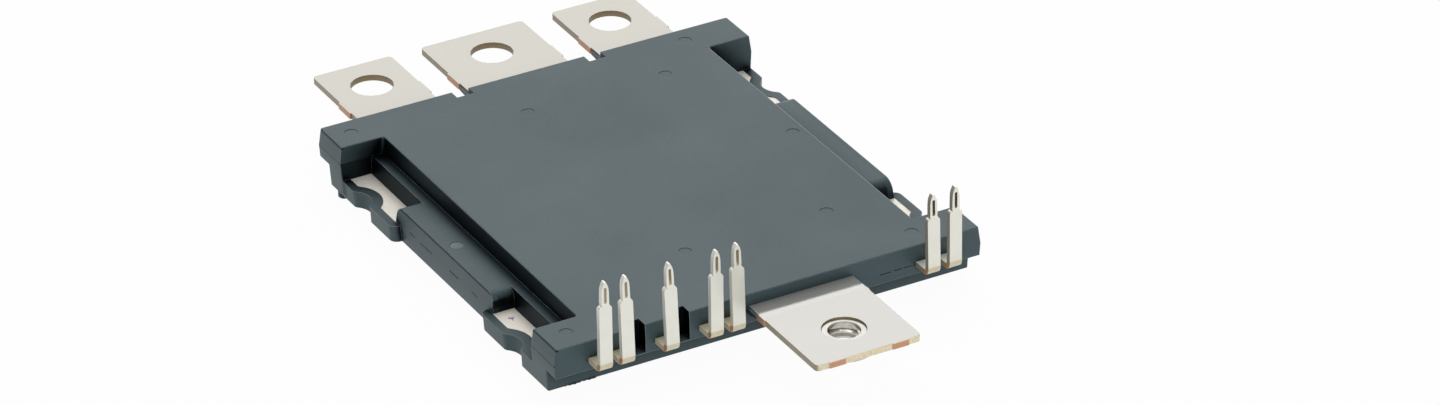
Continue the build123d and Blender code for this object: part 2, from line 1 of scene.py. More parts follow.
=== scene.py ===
"""Looks for a moulded silicon carbide half-bridge module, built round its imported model.

Lengths are in metres unless a name ends in _mm. The frame is the model's own: the origin is the
middle of the cooling face, +Z points up to the pin tips and +Y to the three direct current terminals.
"""

import logging
import math
from dataclasses import dataclass
from enum import Enum
from functools import cache

import bpy
from mathutils import Matrix, Vector

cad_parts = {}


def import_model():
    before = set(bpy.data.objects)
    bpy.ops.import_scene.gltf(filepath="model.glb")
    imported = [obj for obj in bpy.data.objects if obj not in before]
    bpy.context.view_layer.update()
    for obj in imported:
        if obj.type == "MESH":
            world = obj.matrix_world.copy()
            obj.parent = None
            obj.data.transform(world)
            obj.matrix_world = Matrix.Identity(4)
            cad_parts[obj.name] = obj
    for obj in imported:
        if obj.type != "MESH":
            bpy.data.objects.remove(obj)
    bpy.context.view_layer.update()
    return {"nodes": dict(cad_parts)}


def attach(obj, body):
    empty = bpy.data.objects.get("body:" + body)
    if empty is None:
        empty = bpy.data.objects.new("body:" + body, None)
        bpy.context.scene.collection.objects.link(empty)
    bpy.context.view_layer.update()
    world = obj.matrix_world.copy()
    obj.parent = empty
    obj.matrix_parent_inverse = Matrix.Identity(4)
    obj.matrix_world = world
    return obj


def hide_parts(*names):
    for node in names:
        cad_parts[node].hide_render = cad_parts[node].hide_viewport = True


LOG = logging.getLogger("module_scene")

MM = 0.001
BODY = "root"
PIN_COUNT = 7
MERGE_MM = 0.001          # vertices nearer than this become one
MIX_LOW, MIX_HIGH, MIX_RESULT = 6, 7, 2   # colour sockets of a Mix node

Colour = tuple[float, float, float]
Point = tuple[float, float, float]
Span = tuple[float, float]
Spot = tuple[float, float]
Socket = bpy.types.NodeSocket
Material = bpy.types.Material
Piece = bpy.types.Object
Nodes = dict[str, Piece]


def rgba(colour: Colour) -> tuple[float, float, float, float]:
    """Gives a linear colour full opacity."""
    return (*colour, 1.0)


class NodeTree:
    """A material's or a group's node tree with short calls to fill it."""

    def __init__(self, tree: bpy.types.NodeTree) -> None:
        """Wraps a tree.

        Args:
            tree: The node tree to fill.
        """
        self.tree = tree

    def link(self, source: Socket, target: Socket) -> None:
        """Joins an output to an input."""
        self.tree.links.new(source, target)

    def add(self, kind: str, values: dict[str | int, object] | None = None,
            **settings: object) -> bpy.types.Node:
        """Adds a node.

        Args:
            kind: The node's type name, without the ShaderNode prefix.
            values: Numbers, colours, vectors or output sockets by input.
            settings: Attributes to set on the node.

        Returns:
            The new node.
        """
        node = self.tree.nodes.new("ShaderNode" + kind)
        for name, value in settings.items():
            setattr(node, name, value)
        for name, value in (values or {}).items():
            if isinstance(value, Socket):
                self.link(value, node.inputs[name])
            else:
                node.inputs[name].default_value = value
        return node

    def math(self, operation: str, first: object, second: object = 0.0, clamp: bool = False) -> Socket:
        """Adds a Math node.

        Args:
            operation: The Math node's operation.
            first: First number or socket.
            second: Second number or socket.
            clamp: Whether the result is kept between 0 and 1.

        Returns:
            The result's socket.
        """
        return self.add("Math", {0: first, 1: second}, operation=operation, use_clamp=clamp).outputs[0]

    def times(self, first: object, second: object) -> Socket:
        """Multiplies two numbers or sockets."""
        return self.math("MULTIPLY", first, second)

    def inverse(self, value: object) -> Socket:
        """Takes a value from 1."""
        return self.math("SUBTRACT", 1.0, value)

    def faded(self, value: object, mask: object, share: object = 1.0) -> Socket:
        """Lowers a value where a mask is set.

        Args:
            value: The value's socket.
            mask: Where to lower it, 0 to 1.
            share: How much of it goes under a full mask.

        Returns:
            The lowered value's socket.
        """
        return self.times(value, self.inverse(self.times(mask, share)))

    def vector(self, operation: str, first: object, second: object = (0.0, 0.0, 0.0)) -> Socket:
        """Adds a Vector Math node.

        Args:
            operation: The node's operation.
            first: First vector or socket.
            second: Second vector or socket.

        Returns:
            The result's socket, a number for a distance or a dot product.
        """
        node = self.add("VectorMath", {0: first, 1: second}, operation=operation)
        return node.outputs["Value" if operation in ("DISTANCE", "DOT_PRODUCT") else "Vector"]

    def split(self, vector: Socket) -> tuple[Socket, ...]:
        """Takes a vector apart into its X, Y and Z."""
        return tuple(self.add("SeparateXYZ", {0: vector}).outputs)

    def place(self) -> Socket:
        """Gives the place on the object, in metres."""
        return self.add("TexCoord").outputs["Object"]

    def normal(self, kind: str = "Normal") -> Socket:
        """Gives the surface's direction."""
        return self.add("NewGeometry").outputs[kind]

    def ramp(self, value: Socket, span: Span) -> Socket:
        """Maps a span to 0 to 1, and keeps the result between them.

        Args:
            value: The socket to map.
            span: What becomes 0, and what becomes 1.

        Returns:
            The mapped socket.
        """
        values = {"Value": value, "From Min": span[0], "From Max": span[1]}
        return self.add("MapRange", values, clamp=True).outputs["Result"]

    def mix(self, factor: object, low: object, high: object) -> Socket:
        """Mixes two colours.

        Args:
            factor: 0 for low, 1 for high.
            low: Colour or socket.
            high: Colour or socket.

        Returns:
            The mixed colour's socket.
        """
        values = {0: factor, MIX_LOW: low, MIX_HIGH: high}
        return self.add("Mix", values, data_type="RGBA").outputs[MIX_RESULT]

    def tinted(self, colour: object, mask: object, tint: Colour, share: object = 1.0) -> Socket:
        """Covers a colour with another where a mask is set.

        Args:
            colour: The colour's socket.
            mask: Where to cover it, 0 to 1.
            tint: The colour on top.
            share: How much a full mask covers.

        Returns:
            The covered colour's socket.
        """
        return self.mix(self.times(mask, share), colour, rgba(tint))

    def noise(self, where: Socket, scale: object, detail: float = 2.0) -> Socket:
        """Adds a noise texture.

        Args:
            where: The coordinates' socket.
            scale: Waves per metre.
            detail: How many finer layers it has.

        Returns:
            The noise value's socket.
        """
        return self.add("TexNoise", {"Vector": where, "Scale": scale, "Detail": detail}).outputs[0]

    def grain(self, fine_scale: float, cloud_scale: float) -> bpy.types.NodeOutputs:
        """Adds the fine grain, and gives its outputs Tone, Cloud and Height."""
        values = {"Fine Scale": fine_scale, "Cloud Scale": cloud_scale}
        return self.add("Group", values, node_tree=Groups.fine_grain()).outputs

    def upright(self) -> Socket:
        """Adds the mask of upright faces."""
        return self.add("Group", node_tree=Groups.upright_mask()).outputs["Mask"]

    def surface(self, shader: bpy.types.Node, colour: Socket, roughness: Socket, height: Socket,
                strength: float, depth_mm: float, below: Socket | None = None) -> None:
        """Feeds a Principled shader.

        Args:
            shader: The shader's node.
            colour: Its base colour.
            roughness: Its roughness.
            height: The height of its bump.
            strength: How much of the bump shows.
            depth_mm: How deep the bump is.
            below: The direction that the bump starts from.
        """
        bump = self.add("Bump", {"Strength": strength, "Distance": depth_mm * MM, "Height": height})
        if below is not None:
            self.link(below, bump.inputs["Normal"])
        for name, value in (("Base Color", colour), ("Roughness", roughness), ("Normal", bump.outputs[0])):
            self.link(value, shader.inputs[name])


class Groups:
    """The shader groups that several finishes share, each built once."""

    UPRIGHT_SPAN: Span = (0.45, 0.75)
    TONE_SPAN: Span = (0.3, 0.7)
    FINE_DETAIL = 3.0
    DASH_SCALE = 420.0
    DASH_DETAIL = 1.0

    @staticmethod
    def start(name: str, inputs: dict[str, str], outputs: tuple[str, ...] = ("Mask",)) -> tuple[
            NodeTree, bpy.types.NodeOutputs, bpy.types.NodeInputs]:
        """Makes a group with named sockets.

        Args:
            name: The group's name.
            inputs: Kind of socket by input name, Float or Vector.
            outputs: Names of its outputs, all numbers.

        Returns:
            The group's tree, and its inputs and outputs as the inside sees them.
        """
        tree = bpy.data.node_groups.new(name, "ShaderNodeTree")
        for label, kind in inputs.items():
            tree.interface.new_socket(name=label, in_out="INPUT", socket_type="NodeSocket" + kind)
        for label in outputs:
            tree.interface.new_socket(name=label, in_out="OUTPUT", socket_type="NodeSocketFloat")
        given = tree.nodes.new("NodeGroupInput")
        result = tree.nodes.new("NodeGroupOutput")
        return NodeTree(tree), given.outputs, result.inputs

    @staticmethod
    @cache
    def box_mask() -> bpy.types.NodeTree:
        """A mask that is 1 inside a box given by its middle and half size, in metres.

        Returns:
            The group.
        """
        made, given, result = Groups.start("box_mask", {"Middle": "Vector", "Half Size": "Vector",
                                                        "Softness": "Float"})
        size = made.vector("ABSOLUTE", made.vector("SUBTRACT", made.place(), given["Middle"]))
        x, y, z = made.split(made.vector("SUBTRACT", size, given["Half Size"]))
        far = made.math("MAXIMUM", x, made.math("MAXIMUM", y, z))
        over = made.math("DIVIDE", far, given["Softness"])
        made.link(made.math("SUBTRACT", 1.0, over, clamp=True), result["Mask"])
        return made.tree

    @staticmethod
    @cache
    def disc_mask() -> bpy.types.NodeTree:
        """A mask that is 1 within a radius of an upright axis, both in metres.

        Returns:
            The group.
        """
        made, given, result = Groups.start("disc_mask", {"Middle": "Vector", "Radius": "Float"})
        flat = made.vector("MULTIPLY", made.place(), (1.0, 1.0, 0.0))
        away = made.vector("DISTANCE", flat, given["Middle"])
        made.link(made.math("LESS_THAN", away, given["Radius"]), result["Mask"])
        return made.tree

    @staticmethod
    @cache
    def upright_mask() -> bpy.types.NodeTree:
        """A mask that is 1 on upright faces and 0 on level ones.

        Returns:
            The group.
        """
        made, _, result = Groups.start("upright_mask", {})
        level = made.math("ABSOLUTE", made.split(made.normal())[2])
        made.link(made.inverse(made.ramp(level, Groups.UPRIGHT_SPAN)), result["Mask"])
        return made.tree

    @staticmethod
    @cache
    def fine_grain() -> bpy.types.NodeTree:
        """Two sizes of unevenness: Tone and Cloud for colour and roughness, and Height for a bump.

        Returns:
            The group.
        """
        made, given, result = Groups.start("fine_grain", {"Fine Scale": "Float", "Cloud Scale": "Float"},
                                           ("Tone", "Cloud", "Height"))
        place = made.place()
        fine = made.noise(place, given["Fine Scale"], Groups.FINE_DETAIL)
        cloud = made.noise(place, given["Cloud Scale"])
        made.link(made.ramp(fine, Groups.TONE_SPAN), result["Tone"])
        made.link(made.ramp(cloud, Groups.TONE_SPAN), result["Cloud"])
        made.link(fine, result["Height"])
        return made.tree

    @staticmethod
    @cache
    def level_line() -> bpy.types.NodeTree:
        """A thin level line at one height that a dash pattern breaks up, for parting lines.

        Returns:
            The group.
        """
        made, given, result = Groups.start("level_line", {"Height": "Float", "Half Width": "Float",
                                                          "Gaps": "Float"})
        place = made.place()
        away = made.math("ABSOLUTE", made.math("SUBTRACT", made.split(place)[2], given["Height"]))
        near = made.math("LESS_THAN", away, given["Half Width"])
        dashes = made.noise(place, Groups.DASH_SCALE, Groups.DASH_DETAIL)
        made.link(made.times(near, made.math("GREATER_THAN", dashes, given["Gaps"])), result["Mask"])
        return made.tree


@dataclass(frozen=True)
class Patch:
    """A box-shaped stretch of a surface that another colour covers, in millimetres."""

    low: Point
    high: Point
    softness: float = 0.05

    def mask(self, tree: NodeTree) -> Socket:
        """Adds the patch's mask to a material.

        Args:
            tree: The material's tree.

        Returns:
            The mask's socket.
        """
        middle = [(a + b) / 2 * MM for a, b in zip(self.low, self.high)]
        half = [(b - a) / 2 * MM for a, b in zip(self.low, self.high)]
        values = {"Middle": middle, "Half Size": half, "Softness": self.softness * MM}
        return tree.add("Group", values, node_tree=Groups.box_mask()).outputs["Mask"]


@dataclass(frozen=True)
class Disc:
    """A round stretch of a surface, seen along Z, in millimetres."""

    x: float
    y: float
    radius: float

    def mask(self, tree: NodeTree) -> Socket:
        """Adds the disc's mask to a material.

        Args:
            tree: The material's tree.

        Returns:
            The mask's socket.
        """
        values = {"Middle": (self.x * MM, self.y * MM, 0.0), "Radius": self.radius * MM}
        return tree.add("Group", values, node_tree=Groups.disc_mask()).outputs["Mask"]


def new_material(name: str) -> tuple[Material, NodeTree, bpy.types.Node]:
    """Makes a material with an empty Principled shader.

    Args:
        name: The material's name.

    Returns:
        The material, its tree and its Principled node.
    """
    material = bpy.data.materials.new(name)
    material.use_nodes = True
    shader = next(n for n in material.node_tree.nodes if n.type == "BSDF_PRINCIPLED")
    return material, NodeTree(material.node_tree), shader


@dataclass(frozen=True)
class MouldedCompound:
    """Dark grey filled moulding compound with spark-eroded grain, parting lines and flash marks, with painted
    shade in its hollows and painted highlights on its edges.
    """

    base: Colour = (0.031, 0.055, 0.064)
    pale: Colour = (0.052, 0.089, 0.103)
    # Near black: the colour of the painted shade in hollows, under the pins and along some edges, and of the
    # parting line and flash marks.
    line: Colour = (0.002, 0.003, 0.004)
    sheen: Colour = (0.87, 0.97, 1.0)
    # Painted highlight colour for convex edges; it also lightens the rail's ejector mark.
    highlight_tint: Colour = (0.32, 0.36, 0.38)
    roughness: float = 0.40
    cloud_roughness: float = 0.09
    fine_scale: float = 5200.0
    cloud_scale: float = 55.0
    tone_share: float = 0.7
    grain_bump: float = 0.22
    bump_mm: float = 0.02
    edge_mm: float = 0.12
    edge_samples: int = 8
    highlight_span: Span = (0.86, 0.995)
    outward_span: Span = (0.40, 0.60)
    bright_share: float = 0.30
    parting_mm: float = 5.35
    line_half_mm: float = 0.07
    line_gaps: float = 0.30
    side_limit: float = 0.6
    dark_mark_share: float = 0.9
    hollow_mm: float = 8.0
    hollow_samples: int = 12
    hollow_span: Span = (0.56, 0.90)
    # How far the painted shade turns the surface metallic, which dulls its reflections.
    shade_dulling: float = 0.9
    # Painted contact shade: faces close to other parts, such as the front face behind the pins and the skirt
    # over the floor, are darkened.
    near_mm: float = 2.6
    near_samples: int = 8
    near_span: Span = (0.45, 0.85)
    contact_shade_share: float = 0.6
    # Painted shade: upright faces in the side channels, under the ledges and at the rear recess are darkened
    # by each box's share.
    shaded_hollows: tuple[tuple[Patch, float], ...] = (
        (Patch((-29.0, -29.2, 1.0), (-24.3, 29.2, 7.9), 0.1), 0.85),
        (Patch((24.3, -29.2, 1.0), (29.0, 29.2, 7.9), 0.1), 0.85),
        (Patch((-31.6, -29.4, 0.5), (-24.3, 29.4, 5.3), 0.1), 0.8),
        (Patch((24.3, -29.4, 0.5), (31.6, 29.4, 5.3), 0.1), 0.8),
        (Patch((-34.4, 28.4, 0.5), (-24.3, 29.6, 5.3), 0.1), 0.7),
        (Patch((-34.4, 28.4, 5.3), (-24.3, 29.6, 7.9), 0.1), 0.15))
    marks: tuple[Disc, ...] = ()
    bright_marks: tuple[Disc, ...] = ()
    # The first band is a painted highlight along the core's top right edge; the second is a dark line along
    # the right rail's top.
    highlight_and_dark_bands: tuple[tuple[Patch, Colour, float], ...] = (
        (Patch((26.84, -29.3, 7.86), (27.04, 29.3, 8.02)), (0.32, 0.36, 0.38), 0.45),
        (Patch((31.82, -14.2, 5.3), (31.98, 14.2, 5.4)), (0.002, 0.003, 0.004), 0.35))
    # Dark marks: the lines along the left rail's top edge and front end and along the heads' top outer edges
    # are painted shade; the dashes on the rail's outer face and the front face are flash marks.
    dark_marks_and_edge_shade: tuple[Patch, ...] = (
        Patch((-36.0, -14.0, 4.98), (-30.0, 14.0, 5.2)), Patch((-36.0, -14.95, 2.2), (-30.5, -14.72, 4.3)),
        Patch((-36.0, -36.5, 7.68), (-33.6, -29.2, 7.88)), Patch((-36.0, 29.2, 7.68), (-33.6, 36.5, 7.88)),
        Patch((-36.0, -4.4, 2.75), (-30.0, -1.7, 2.95)), Patch((-36.0, -10.2, 2.7), (-30.0, -8.5, 2.85)),
        Patch((-36.0, 3.7, 2.75), (-30.0, 7.3, 2.9)), Patch((-36.0, 9.1, 2.8), (-30.0, 10.7, 2.95)),
        Patch((17.6, -37.0, 4.87), (19.4, -36.0, 4.97)), Patch((19.9, -37.0, 4.9), (21.2, -36.0, 5.02)),
        Patch((21.5, -37.0, 4.92), (22.8, -36.0, 5.0)))

    def build(self) -> Material:
        """Builds the material.

        Returns:
            The material.
        """
        material, tree, shader = new_material("mould_compound_grained")
        grain = tree.grain(self.fine_scale, self.cloud_scale)
        colour = tree.mix(tree.times(grain["Tone"], self.tone_share), rgba(self.base), rgba(self.pale))
        # Painted shade: local occlusion darkens the hollows.
        sky = tree.add("AmbientOcclusion", {"Distance": self.hollow_mm * MM}, samples=self.hollow_samples,
                       only_local=True).outputs["AO"]
        shade = tree.ramp(sky, self.hollow_span)
        facing = tree.normal("True Normal")
        # Painted highlight: convex edges, found from the rounded normal, are lightened where they stand in
        # the open, except at the ejector marks.
        edge_detail = tree.add("Bevel", {"Radius": self.edge_mm * MM}, samples=self.edge_samples).outputs["Normal"]
        highlight_edges = tree.inverse(tree.ramp(tree.vector("DOT_PRODUCT", edge_detail, facing), self.highlight_span))
        painted_highlight = tree.times(highlight_edges, tree.ramp(sky, self.outward_span))
        for mark in self.marks:
            painted_highlight = tree.faded(painted_highlight, mark.mask(tree))
        colour = tree.tinted(colour, painted_highlight, self.highlight_tint)
        for mark in self.bright_marks:
            colour = tree.tinted(colour, mark.mask(tree), self.highlight_tint, self.bright_share)
        # Painted highlight band and dark line.
        for band, tint, share in self.highlight_and_dark_bands:
            colour = tree.tinted(colour, band.mask(tree), tint, share)
        upright = tree.upright()
        # Painted shade in the listed boxes.
        for shaded_box, strength in self.shaded_hollows:
            shade = tree.faded(shade, tree.times(shaded_box.mask(tree), upright), strength)
        # Painted contact shade from occlusion by the pins and the floor.
        beside = tree.add("AmbientOcclusion", {"Distance": self.near_mm * MM}, samples=self.near_samples)
        contact_shade = tree.inverse(tree.ramp(beside.outputs["AO"], self.near_span))
        shade = tree.faded(shade, contact_shade, self.contact_shade_share)
        # Painted light level: 1 keeps the colour, lower values paint shade; the painted highlight is never
        # shaded.
        painted_light_level = tree.math("MAXIMUM", shade, painted_highlight)
        values = {"Height": self.parting_mm * MM, "Half Width": self.line_half_mm * MM,
                  "Gaps": self.line_gaps}
        line = tree.add("Group", values, node_tree=Groups.level_line())
        sideways = tree.math("GREATER_THAN", tree.math("ABSOLUTE", tree.split(facing)[0]), self.side_limit)
        parting = tree.times(line.outputs["Mask"], sideways)
        # Darkens the parting line, the flash marks and the painted edge shade.
        for mark in (parting, *(dark_mark.mask(tree) for dark_mark in self.dark_marks_and_edge_shade)):
            painted_light_level = tree.faded(painted_light_level, tree.times(mark, upright), self.dark_mark_share)
        # Painted shade: where the level is low the colour goes to near black, and the surface turns metallic
        # so that its reflections dull.
        colour = tree.mix(painted_light_level, rgba(self.line), colour)
        tree.link(tree.times(tree.inverse(painted_light_level), self.shade_dulling), shader.inputs["Metallic"])
        shader.inputs["Specular Tint"].default_value = rgba(self.sheen)
        roughness = tree.math("ADD", tree.times(grain["Cloud"], self.cloud_roughness), self.roughness)
        tree.surface(shader, colour, roughness, grain["Height"], self.grain_bump, self.bump_mm, edge_detail)
        return material


@dataclass(frozen=True)
class NickelPlate:
    """Satin nickel over copper: bright faces, duller sheared edges with painted shade on those that face
    left, and bare copper where ties were cut.
    """

    name: str
    face: Colour = (0.60, 0.575, 0.515)
    edge: Colour = (0.74, 0.70, 0.60)
    # Painted shade on the edges that face left; also the colour of random wear on all edges.
    left_shade_and_wear: Colour = (0.34, 0.30, 0.22)
    hole: Colour = (0.28, 0.22, 0.13)
    copper: Colour = (0.62, 0.32, 0.18)
    metallic: float = 0.35
    roughness: float = 0.10
    edge_roughness: float = 0.42
    tone_roughness: float = 0.05
    fine_scale: float = 2600.0
    cloud_scale: float = 90.0
    cloud_share: float = 0.25
    cloud_tint: float = 0.93
    left_span: Span = (0.3, 0.7)
    worn_share: float = 0.35
    bump: float = 0.04
    bump_mm: float = 0.01
    holes: tuple[Disc, ...] = ()
    cuts: tuple[Patch, ...] = ()
    polished: Patch | None = None
    polish: float = 0.26

    def build(self) -> Material:
        """Builds the material.

        Returns:
            The material.
        """
        material, tree, shader = new_material(self.name)
        shader.inputs["Metallic"].default_value = self.metallic
        if self.polished:
            more = tree.times(self.polished.mask(tree), self.polish)
            tree.link(tree.math("ADD", more, self.metallic), shader.inputs["Metallic"])
        grain = tree.grain(self.fine_scale, self.cloud_scale)
        upright = tree.upright()
        clouded = tuple(c * self.cloud_tint for c in self.face)
        face = tree.mix(tree.times(grain["Cloud"], self.cloud_share), rgba(self.face), rgba(clouded))
        # Painted shade: the edges that face left take the darker colour; random wear spots of it follow on
        # all edges.
        leftward = tree.ramp(tree.times(tree.split(tree.normal())[0], -1.0), self.left_span)
        edge = tree.mix(leftward, rgba(self.edge), rgba(self.left_shade_and_wear))
        edge_detail = tree.tinted(edge, grain["Tone"], self.left_shade_and_wear, self.worn_share)
        colour = tree.mix(upright, face, edge_detail)
        for hole in self.holes:
            colour = tree.tinted(colour, hole.mask(tree), self.hole, upright)
        for cut in self.cuts:
            colour = tree.tinted(colour, cut.mask(tree), self.copper, upright)
        dull = tree.times(upright, self.edge_roughness - self.roughness)
        uneven = tree.times(grain["Tone"], self.tone_roughness)
        roughness = tree.math("ADD", tree.math("ADD", dull, self.roughness), uneven)
        tree.surface(shader, colour, roughness, grain["Height"], self.bump, self.bump_mm)
        return material


@dataclass(frozen=True)
class PinPlate:
    """Bright tin over a copper alloy strip, yellower towards the foot, bare at the cut of the bend, with a
    painted highlight and painted shade on the right pair.
    """

    bright: Colour = (0.83, 0.83, 0.76)
    yellow: Colour = (0.68, 0.60, 0.39)
    copper: Colour = (0.62, 0.29, 0.15)
    slot_wall: Colour = (0.60, 0.52, 0.36)
    # Painted shade on the right pair's left faces and slot walls.
    shaded_side: Colour = (0.22, 0.17, 0.09)
    metallic: float = 0.6
    low_metallic: float = 0.15
    roughness: float = 0.30
    tone_roughness: float = 0.1
    fine_scale: float = 1800.0
    cloud_scale: float = 420.0
    stain_share: float = 0.15
    low_mm: Span = (5.6, 7.2)
    low_share: float = 0.15
    bend_top_mm: float = 5.95
    bend_share: float = 0.6
    left_span: Span = (0.6, 0.8)
    level_limit: float = 0.8
    side_shade_share: float = 0.7
    wall_limit: float = 0.7
    edge_mm: float = 0.06
    edge_samples: int = 6
    bump: float = 0.08
    bump_mm: float = 0.02
    bend: Patch = Patch((-40.0, -40.2, 4.4), (40.0, -39.1, 5.7), 0.2)
    right_pair: Patch = Patch((20.0, -41.0, 4.0), (32.0, -30.0, 19.0))
    slots: tuple[Patch, ...] = ()

    def build(self) -> Material:
        """Builds the material.

        Returns:
            The material.
        """
        material, tree, shader = new_material("pin_tin_plated")
        grain = tree.grain(self.fine_scale, self.cloud_scale)
        height = tree.split(tree.place())[2]
        low = tree.inverse(tree.ramp(height, tuple(z * MM for z in self.low_mm)))
        bent = tree.math("LESS_THAN", height, self.bend_top_mm * MM)
        stained = tree.times(grain["Cloud"], self.stain_share)
        warm = tree.math("ADD", tree.times(low, self.low_share), tree.times(bent, self.bend_share))
        colour = tree.mix(tree.math("ADD", warm, stained, clamp=True), rgba(self.bright), rgba(self.yellow))
        right, back, up = tree.split(tree.normal())
        leftward = tree.ramp(tree.times(right, -1.0), self.left_span)
        fall = tree.times(tree.math("MAXIMUM", bent, leftward), self.low_metallic - self.metallic)
        tree.link(tree.math("ADD", fall, self.metallic), shader.inputs["Metallic"])
        paired = self.right_pair.mask(tree)
        # Painted highlight: on the right pair, the level tops of the bent feet take the bright colour.
        level = tree.times(tree.math("GREATER_THAN", up, self.level_limit), bent)
        colour = tree.tinted(colour, level, self.bright, paired)
        # Painted shade: the right pair's left faces darken.
        colour = tree.tinted(colour, tree.times(leftward, paired), self.shaded_side, self.side_shade_share)
        colour = tree.tinted(colour, leftward, self.copper, self.bend.mask(tree))
        # Slot walls: tan on most pins, painted shade on the right pair.
        wall = tree.mix(paired, rgba(self.slot_wall), rgba(self.shaded_side))
        inner = tree.math("LESS_THAN", tree.math("ABSOLUTE", back), self.wall_limit)
        for slot in self.slots:
            colour = tree.mix(tree.times(slot.mask(tree), inner), colour, wall)
        roughness = tree.math("ADD", tree.times(grain["Tone"], self.tone_roughness), self.roughness)
        edge_detail = tree.add("Bevel", {"Radius": self.edge_mm * MM}, samples=self.edge_samples).outputs["Normal"]
        tree.surface(shader, colour, roughness, grain["Height"], self.bump, self.bump_mm, edge_detail)
        return material


@dataclass(frozen=True)
class MetalFinish:
    """A plain metal with grain, for the nut, the plate and the sealed copper, solder and ribbons."""

    name: str
    base: Colour
    dark: Colour
    roughness: float
    metallic: float = 1.0
    tone_roughness: float = 0.12
    fine_scale: float = 1500.0
    cloud_scale: float = 120.0
    bump: float = 0.06
    bump_mm: float = 0.02
    blot_mm: Point | None = None
    blot_reach_mm: float = 0.95
    ragged_mm: float = 1.1
    ragged_scale: float = 2600.0
    ink: Colour = (0.16, 0.10, 0.36)
    ink_share: float = 0.8

    def blotted(self, tree: NodeTree, colour: Socket) -> Socket:
        """Adds a broken dot of ink.

        Args:
            tree: The material's tree.
            colour: The colour below the ink.

        Returns:
            The colour with the ink.
        """
        place = tree.place()
        away = tree.vector("DISTANCE", place, tuple(c * MM for c in self.blot_mm))
        ragged = tree.times(tree.noise(place, self.ragged_scale, 1.0), self.ragged_mm * MM)
        near = tree.math("LESS_THAN", tree.math("ADD", away, ragged), self.blot_reach_mm * MM)
        return tree.tinted(colour, near, self.ink, self.ink_share)

    def build(self) -> Material:
        """Builds the material.

        Returns:
            The material.
        """
        material, tree, shader = new_material(self.name)
        shader.inputs["Metallic"].default_value = self.metallic
        grain = tree.grain(self.fine_scale, self.cloud_scale)
        colour = tree.mix(tree.times(grain["Cloud"], grain["Tone"]), rgba(self.base), rgba(self.dark))
        if self.blot_mm:
            colour = self.blotted(tree, colour)
        roughness = tree.math("ADD", tree.times(grain["Tone"], self.tone_roughness), self.roughness)
        tree.surface(shader, colour, roughness, grain["Height"], self.bump, self.bump_mm)
        return material


class Finish(Enum):
    """The finishes of the parts that no class of their own dresses."""

    PLATE = MetalFinish("plate_nickel_matt", (0.97, 0.93, 0.85), (0.90, 0.84, 0.73), 0.45, 0.25,
                        blot_mm=(-30.94, -17.34, 2.5))
    NUT = MetalFinish("nut_steel_bright", (0.56, 0.55, 0.51), (0.46, 0.44, 0.39), 0.14, bump=0.01)
    COPPER = MetalFinish("copper_bare", (0.80, 0.42, 0.26), (0.62, 0.29, 0.17), 0.35)
    SOLDER = MetalFinish("solder_dull", (0.56, 0.57, 0.58), (0.42, 0.43, 0.44), 0.5)
    RIBBON = MetalFinish("ribbon_aluminium", (0.82, 0.83, 0.84), (0.70, 0.71, 0.72), 0.25)
    CERAMIC = MetalFinish("ceramic_pale", (0.72, 0.70, 0.64), (0.62, 0.60, 0.55), 0.6, 0.0)
    DIE = MetalFinish("die_polished", (0.10, 0.12, 0.15), (0.16, 0.17, 0.20), 0.15, 0.3)


def dress(node: Piece, material: Material) -> None:
    """Gives every slot of an object one material.

    Args:
        node: The object.
        material: Its new material.
    """
    if not node.data.materials:
        node.data.materials.append(material)
    for index in range(len(node.data.materials)):
        node.data.materials[index] = material


def deselect_all() -> None:
    """Leaves nothing selected, in object mode."""
    if bpy.context.object and bpy.context.object.mode != "OBJECT":
        bpy.ops.object.mode_set(mode="OBJECT")
    bpy.ops.object.select_all(action="DESELECT")


def make_active(piece: Piece) -> None:
    """Selects one object and makes it the active one."""
    deselect_all()
    piece.select_set(True)
    bpy.context.view_layer.objects.active = piece


def apply_modifiers(piece: Piece) -> None:
    """Applies every modifier of an object in order."""
    make_active(piece)
    for modifier in list(piece.modifiers):
        bpy.ops.object.modifier_apply(modifier=modifier.name)


def face_outwards(piece: Piece) -> None:
    """Turns the faces of a closed piece outwards."""
    make_active(piece)
    bpy.ops.object.mode_set(mode="EDIT")
    bpy.ops.mesh.select_all(action="SELECT")
    bpy.ops.mesh.normals_make_consistent(inside=False)
    bpy.ops.object.mode_set(mode="OBJECT")


def merged_copy(node: Piece, name: str) -> Piece:
    """Copies a node's mesh, with its vertices merged.

    Args:
        node: The CAD node.
        name: The copy's name.

    Returns:
        The new piece, in the node's place, selected and active.
    """
    piece = bpy.data.objects.new(name, node.data.copy())
    bpy.context.scene.collection.objects.link(piece)
    make_active(piece)
    bpy.ops.object.mode_set(mode="EDIT")
    bpy.ops.mesh.select_all(action="SELECT")
    bpy.ops.mesh.remove_doubles(threshold=MERGE_MM * MM)
    bpy.ops.object.mode_set(mode="OBJECT")
    bpy.ops.mesh.customdata_custom_splitnormals_clear()
    return piece


